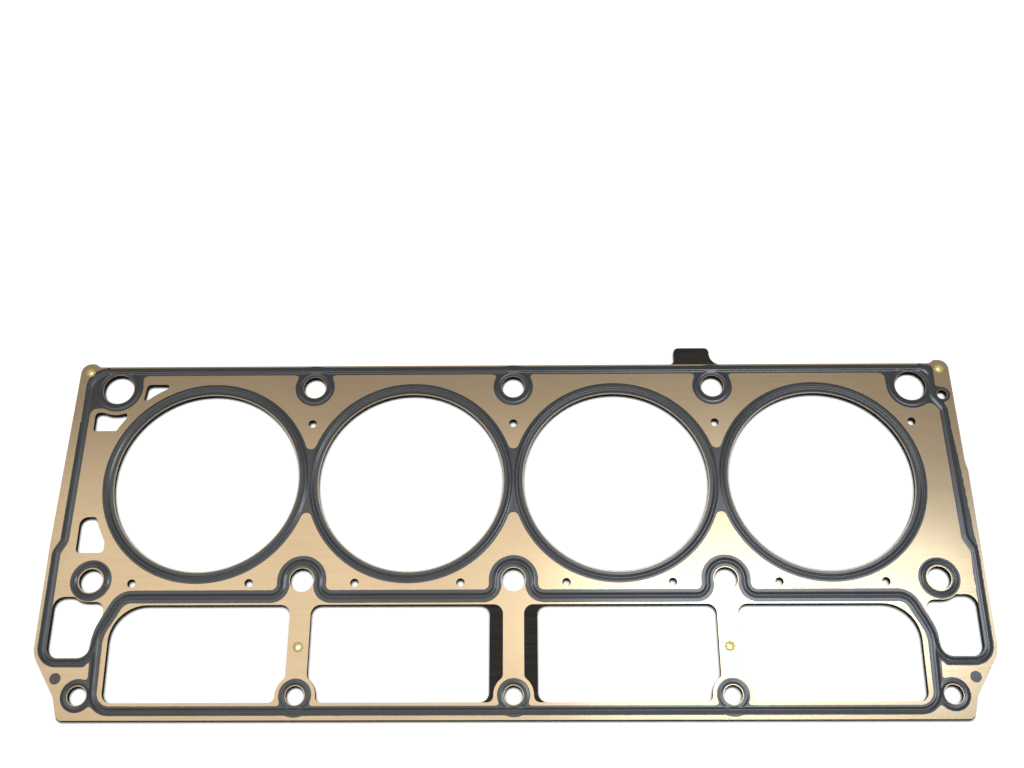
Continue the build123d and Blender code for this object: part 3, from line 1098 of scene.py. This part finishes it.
    def bore_net(self) -> PlanMesh:
        """Lays out the four bore rings, each as far as the line midway to its neighbour.

        The outer radius is that of the print, or of the small circle that rounds the wedge between
        two rings, and stops at the midway line, which lies at half the pitch over the cosine. There are
        more points where the wedge is, and rows stand closer together over the bead.

        Returns:
            The net.
        """
        plan = self.plan
        even = np.arange(self.round_steps) * math.tau / self.round_steps
        close = np.radians(np.linspace(self.wedge_from_deg, self.wedge_to_deg, 11))
        angles = np.unique(np.concatenate([even, close, math.pi - close, math.pi + close, math.tau - close]))
        half = plan.bore_pitch / 2
        wedge_y = math.sqrt((self.bore_outer + self.wedge_radius) ** 2 - half ** 2)
        nets = []
        for number, place in enumerate(plan.bores()):
            outer = np.full(len(angles), self.bore_outer)
            for side in (-1, 1):
                if not 0 <= number + side < 4:
                    continue
                for up in (-1, 1):
                    toward = side * half * np.cos(angles) + up * wedge_y * np.sin(angles)
                    inside = toward ** 2 - half ** 2 - wedge_y ** 2 + self.wedge_radius ** 2
                    near = toward - np.sqrt(np.clip(inside, 0, None))
                    below = (side * np.cos(angles) > 0) & (up * np.sin(angles) >= 0)
                    below &= np.abs(np.tan(angles)) < wedge_y / half
                    outer = np.where(below, np.where(inside > 0, near, np.inf), outer)
                facing = np.clip(side * np.cos(angles), 1e-6, None)
                outer = np.minimum(outer, half / facing)
            crest = plan.bore_bead_radius
            inward = np.array([1.0, 0.75, 0.55, 0.45, 0.35, 0.25, 0.15, 0.08])[:, None]
            outward = np.array([0.0, 0.09, 0.19, 0.31, 0.45, 0.6, 0.72, 0.86, 1.0])[:, None]
            radii = np.concatenate([
                crest - inward * (crest - self.bore_inner) + 0 * angles,
                crest + outward * (outer - crest),
            ])
            nets.append(ring_net(place, radii, angles))
        return joined(nets)

    def bore_top(self, x: np.ndarray, y: np.ndarray) -> np.ndarray:
        """Height of the bore rings: the film, or the rounded bead where that is higher.

        Args:
            x: places across.
            y: places up.

        Returns:
            The height.
        """
        off = np.full(np.shape(x), np.inf)
        for place in self.plan.bores():
            off = np.minimum(off, np.abs(np.hypot(x - place[0], y - place[1]) - self.plan.bore_bead_radius))
        lift = self.bore_bead.over(off)
        return self.plan.sheet_top + smooth_max(lift, np.full_like(lift, self.film), self.ring_fillet)

    def bolt_net(self) -> PlanMesh:
        """Lays out the free rings round the two end bolts.

        Returns:
            The net.
        """
        angles = np.arange(96) * math.tau / 96
        inner = self.plan.bolt_radius + self.end_ring_rim
        radii = np.linspace(inner, self.end_ring, 17)[:, None] + 0 * angles
        return joined([ring_net(place, radii, angles) for place in self.plan.end_bolts()])

    def bolt_top(self, x: np.ndarray, y: np.ndarray) -> np.ndarray:
        """Height of the end bolts' rings: the film, or the rounded bead where that is higher.

        Args:
            x: places across.
            y: places up.

        Returns:
            The height.
        """
        off = np.full(np.shape(x), np.inf)
        for place in self.plan.end_bolts():
            off = np.minimum(off, np.abs(np.hypot(x - place[0], y - place[1]) - self.plan.bolt_bead_radius))
        lift = self.track_bead.over(off)
        return self.plan.sheet_top + smooth_max(lift, np.full_like(lift, self.film), self.ring_fillet)

    def dot_net(self) -> PlanMesh:
        """Cuts the net of the two printed dots outside the end passages.

        Returns:
            The net.
        """
        x_lines = np.arange(-240.0, 240.0, self.dot_cell)
        y_lines = np.arange(-109.0, -102.0, self.dot_cell)
        x, y = np.meshgrid(x_lines, y_lines)
        dots = [disc(x, y, (side * self.dot_x, self.dot_y), self.dot_radius) for side in (-1, 1)]
        return cut_net(np.maximum(*dots), x_lines, y_lines)

    def dot_top(self, x: np.ndarray, y: np.ndarray) -> np.ndarray:
        """Height of the dots, which are plain film."""
        return np.full(np.shape(x), self.plan.sheet_top + self.film)

    def build(self) -> None:
        """Makes every part of the print for both faces."""
        finish = self.finish.material()
        parts = {
            "print_strips": (self.track_net(), self.top),
            "print_bore_rings": (self.bore_net(), self.bore_top),
            "print_bolt_rings": (self.bolt_net(), self.bolt_top),
            "print_dots": (self.dot_net(), self.dot_top),
        }
        for name, (net, height) in parts.items():
            top = height(net.x, net.y)
            for face in Face:
                label = f"{name}_{face.name.lower()}"
                piece = layer_object(label, net, top, self.thickness, face)
                piece.data.materials.append(finish)
                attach(piece, "root")
                log.info("%s: %d triangles", label, len(piece.data.polygons))


@dataclass
class Eyelets:
    """Brass eyelets that hold the pack: a rolled lip above, split into petals, and a flange below."""

    finish: PlainMetal = BRASS
    steps: int = 96
    petals: int = 8
    hole: float = 1.5
    barrel: float = 1.9
    flange: float = 2.6
    petal: float = 2.85
    notch: float = 2.3
    reach: float = 1.55
    seat: float = 1.3
    roll: float = 0.22
    petal_fullness: float = 0.7

    def profile(self) -> np.ndarray:
        """Draws the closed section: up the hole, over the lip, along a petal, down the barrel to the flange.

        Returns:
            Rows of radius, height and share of the petal's length.
        """
        lip = math.pi * np.linspace(0.5, 0, 7)
        roll_r = self.hole + self.roll * (1 - np.sin(lip))
        roll_z = self.reach - self.roll * (1 - np.cos(lip))
        petal = [(0.0, 0.25), (-0.02, 0.6), (-0.07, 0.88), (-0.14, 1.0), (-0.22, 0.96), (-0.235, 0.5)]
        rows = [[self.hole, -self.reach + 0.2, 0.0], [self.hole, 0.0, 0.0], [self.hole, self.seat, 0.0]]
        rows += [[r, z, 0.0] for r, z in zip(roll_r[::-1], roll_z)][1:]
        rows += [[self.hole + 0.25, self.reach + z, share] for z, share in petal]
        rows += [[self.barrel, z, 0.0] for z in (self.seat + 0.01, 0.0, -self.seat)]
        rows += [[self.flange - 0.05, -self.seat - 0.01, 0.0], [self.flange, -self.seat - 0.08, 0.0],
                 [self.flange - 0.06, -self.reach + 0.04, 0.0], [self.flange - 0.25, -self.reach, 0.0],
                 [self.hole + 0.2, -self.reach, 0.0], [self.hole + 0.05, -self.reach + 0.06, 0.0]]
        return np.array(rows)

    def build(self) -> None:
        """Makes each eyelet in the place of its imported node.

        The surface is the section turned round the eyelet's axis. Where a row has a share of the
        petal, its radius grows by that share of a length that swings between notch and tip.
        """
        finish = self.finish.material()
        rows = self.profile()
        angles = np.arange(self.steps) * math.tau / self.steps
        swing = (0.5 + 0.5 * np.cos(self.petals * angles)) ** self.petal_fullness
        tip = self.notch + (self.petal - self.notch) * swing
        radii = rows[:, :1] + rows[:, 2:] * (tip - rows[:, :1])
        heights = rows[:, 1:2] + 0 * angles
        count = len(rows)
        number = np.arange(count * self.steps).reshape(count, self.steps)
        after = np.roll(number, -1, 0)
        quads = np.stack([number, np.roll(number, -1, 1), np.roll(after, -1, 1), after], -1).reshape(-1, 4)
        triangles = np.concatenate([quads[:, [0, 1, 2]], quads[:, [0, 2, 3]]])
        for name in EYELETS:
            low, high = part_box(name)
            centre = (np.array(low) + np.array(high)) / 2 / MM
            points = np.stack([
                centre[0] + radii * np.cos(angles), centre[1] + radii * np.sin(angles), heights,
            ], -1).reshape(-1, 3)
            piece = mesh_object("rolled_" + name, points, triangles, sharp_deg=60)
            piece.data.materials.append(finish)
            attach(piece, "root")
            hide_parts(name)
            log.info("%s: %d triangles", piece.name, len(piece.data.polygons))


@dataclass(frozen=True)
class Lamp:
    """A rectangular soft lamp that faces straight down: place and sides in metres, power in watts."""

    name: str
    place: tuple[float, float, float]
    size: tuple[float, float]
    power: float
    tint: tuple[float, float, float] = (1.0, 1.0, 1.0)


@dataclass
class Studio:
    """Pale floor with a low wall round it, soft lamps and the camera.

    The floor's sizes, the lens and the sensor are in millimetres, and what the camera sees lies between
    nearest and farthest, in metres. The floor gets painted shade where the free share of the sky is the dark
    one, and none from the clear one up.
    """

    camera_mm: tuple[float, float, float] = (5.94, -189.92, 599.14)
    camera_deg: tuple[float, float, float] = (22.40, 0.652, -0.040)
    lens: float = 40.322
    sensor: float = 36.0
    nearest: float = 0.01
    farthest: float = 50.0
    floor_gap: float = 0.005
    floor_flat: float = 5000.0
    floor_bend: float = 1000.0
    wall_top: float = 3500.0
    pale: str = "#f4f4f4"
    # Colour of the painted contact shade on the floor.
    shade: str = "#1c1b1a"
    contact: float = 2.0
    dome_y: float = 0.6
    dome_z: float = 0.8
    sky_dark: float = 0.56
    sky_clear: float = 0.84
    shade_samples: int = 10
    eyelet_clear: float = 2.0
    glow: float = 0.75
    world_light: float = 0.30
    lamps: tuple[Lamp, ...] = (
        Lamp("broad_lamp", (-0.213, 0.233, 1.5), (1.521, 0.565), 2.4),
        Lamp("hot_lamp", (0.471, 0.199, 1.45), (0.707, 0.254), 2.35, (0.75, 0.86, 1.0)),
        Lamp("front_lamp", (0.0, -0.8, 1.5), (2.6, 0.8), 3.4),
    )

    def floor(self) -> None:
        """Makes a round pale floor just under the lowest bead, which bends up into a low wall.

        A point is its row's radius times the cosine and sine of its angle. The rows run out flat and then
        up a quarter circle to the wall.
        """
        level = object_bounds()[0].z / MM - self.floor_gap
        angles = np.arange(96) * math.tau / 96
        bend = np.linspace(0, math.pi / 2, 9)
        outer = self.floor_flat + self.floor_bend
        radii = np.concatenate([[1.0], self.floor_flat + self.floor_bend * np.sin(bend), [outer]])
        radii = radii[:, None] + 0 * angles
        heights = np.concatenate([[0.0], self.floor_bend * (1 - np.cos(bend)), [self.wall_top]])
        net = ring_net((0.0, 0.0), radii, angles)
        heights = np.repeat(heights, len(angles)) + level
        points = np.stack([net.x, net.y, heights], 1)
        lid = np.arange(1, len(angles) - 1)
        middle = np.stack([0 * lid, lid, lid + 1], 1)
        floor = mesh_object("floor", points, np.concatenate([net.triangles, middle]), sharp_deg=30)
        floor.data.materials.append(self.floor_paint(level))
        floor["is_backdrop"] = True

    def open_sky(self, tree: bpy.types.NodeTree, level: float) -> bpy.types.NodeSocket:
        """Finds where the floor gets painted shade beside the object's edges.

        The share of the sky that the object leaves free is counted in a half dome that leans toward the
        lamps at the back. The eyelets' narrow holes count as open.

        Args:
            tree: the node tree.
            level: the floor's height.

        Returns:
            An output that goes from 0 beside the edges to 1 on the open floor.
        """
        place = add_node(tree, "ShaderNodeNewGeometry").outputs["Position"]
        dome = add_node(
            tree, "ShaderNodeCombineXYZ", {"Y": self.dome_y, "Z": self.dome_z}
        ).outputs["Vector"]
        sky = add_node(
            tree, "ShaderNodeAmbientOcclusion",
            {"samples": self.shade_samples, "Distance": self.contact * MM}, {"Normal": dome},
        ).outputs["AO"]
        open_air = add_node(
            tree, "ShaderNodeMapRange", {"From Min": self.sky_dark, "From Max": self.sky_clear},
            {"Value": sky},
        ).outputs[0]
        for name in EYELETS:
            low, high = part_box(name)
            centre = (Vector(low) + Vector(high)) / 2
            centre.z = level * MM
            away = add_node(
                tree, "ShaderNodeVectorMath", {"operation": "DISTANCE", 1: centre}, {0: place}
            ).outputs["Value"]
            within = add_node(
                tree, "ShaderNodeMath", {"operation": "LESS_THAN", 1: self.eyelet_clear * MM}, {0: away}
            ).outputs[0]
            open_air = add_node(
                tree, "ShaderNodeMath", {"operation": "MAXIMUM"}, {0: open_air, 1: within}
            ).outputs[0]
        return open_air

    def floor_paint(self, level: float) -> bpy.types.Material:
        """Builds the matt floor paint, which looks white and has painted shade beside the object's edges.

        The camera sees that, and so do mirrored rays and rays through glass. All other light meets a plain
        matt floor.

        Args:
            level: the floor's height.

        Returns:
            The material.
        """
        made, tree, shader = new_material("pale_floor")
        shader.inputs["Roughness"].default_value = 0.9
        shader.inputs["Specular IOR Level"].default_value = 0.1
        path = add_node(tree, "ShaderNodeLightPath")
        seen = add_node(
            tree, "ShaderNodeMath", {"operation": "MAXIMUM"},
            {0: path.outputs["Is Camera Ray"], 1: path.outputs["Is Glossy Ray"]},
        ).outputs[0]
        seen = add_node(
            tree, "ShaderNodeMath", {"operation": "MAXIMUM"},
            {0: seen, 1: path.outputs["Is Transmission Ray"]},
        ).outputs[0]
        open_air = self.open_sky(tree, level)
        # Painted shade: the floor's colour and glow fall to the shade colour beside the object's edges.
        colour = add_node(
            tree, "ShaderNodeMix",
            {"data_type": "RGBA", 6: linear(self.shade), 7: linear(self.pale)}, {0: open_air},
        ).outputs[2]
        glow = add_node(
            tree, "ShaderNodeMath", {"operation": "MULTIPLY", 1: self.glow}, {0: open_air}
        ).outputs[0]
        add_links(tree, shader, {"Base Color": colour, "Emission Strength": glow})
        shader.inputs["Emission Color"].default_value = linear("#ffffff")
        unseen = add_node(tree, "ShaderNodeBsdfDiffuse", {"Color": linear(self.pale)})
        either = add_node(
            tree, "ShaderNodeMixShader", {},
            {0: seen, 1: unseen.outputs["BSDF"], 2: shader.outputs["BSDF"]},
        )
        add_links(tree, tree.nodes["Material Output"], {"Surface": either.outputs["Shader"]})
        return made

    def hang(self, lamp: Lamp) -> None:
        """Adds one lamp to the scene.

        Args:
            lamp: the lamp.
        """
        data = bpy.data.lights.new(lamp.name, "AREA")
        data.shape = "RECTANGLE"
        data.size, data.size_y = lamp.size
        data.energy = lamp.power
        data.color = lamp.tint
        hung = bpy.data.objects.new(lamp.name, data)
        bpy.context.scene.collection.objects.link(hung)
        hung.location = lamp.place
        hung.rotation_euler = Vector((0, 0, -1)).to_track_quat("-Z", "Y").to_euler()

    def light(self) -> None:
        """Hangs the lamps and sets the world."""
        world = bpy.data.worlds.new("studio")
        bpy.context.scene.world = world
        world.use_nodes = True
        background = world.node_tree.nodes["Background"]
        background.inputs["Color"].default_value = linear("#ffffff")
        background.inputs["Strength"].default_value = self.world_light
        for lamp in self.lamps:
            self.hang(lamp)

    def camera(self) -> None:
        """Places the camera at the photograph's view."""
        data = bpy.data.cameras.new("camera")
        data.sensor_width = self.sensor
        data.lens = self.lens
        data.clip_start, data.clip_end = self.nearest, self.farthest
        camera = bpy.data.objects.new("camera", data)
        bpy.context.scene.collection.objects.link(camera)
        camera.location = [value * MM for value in self.camera_mm]
        camera.rotation_euler = [math.radians(value) for value in self.camera_deg]
        bpy.context.scene.camera = camera

    def build(self) -> None:
        """Sets up everything that isn't the object."""
        self.floor()
        self.light()
        self.camera()
        bpy.context.scene.view_settings.view_transform = "Standard"


def main() -> None:
    """Builds the pieces in order."""
    logging.basicConfig(level=logging.INFO, format="%(name)s: %(message)s")
    PressedLayers().dress()
    PrintedCoat().build()
    Eyelets().build()
    Studio().build()


if __name__ == "__main__":
    main()
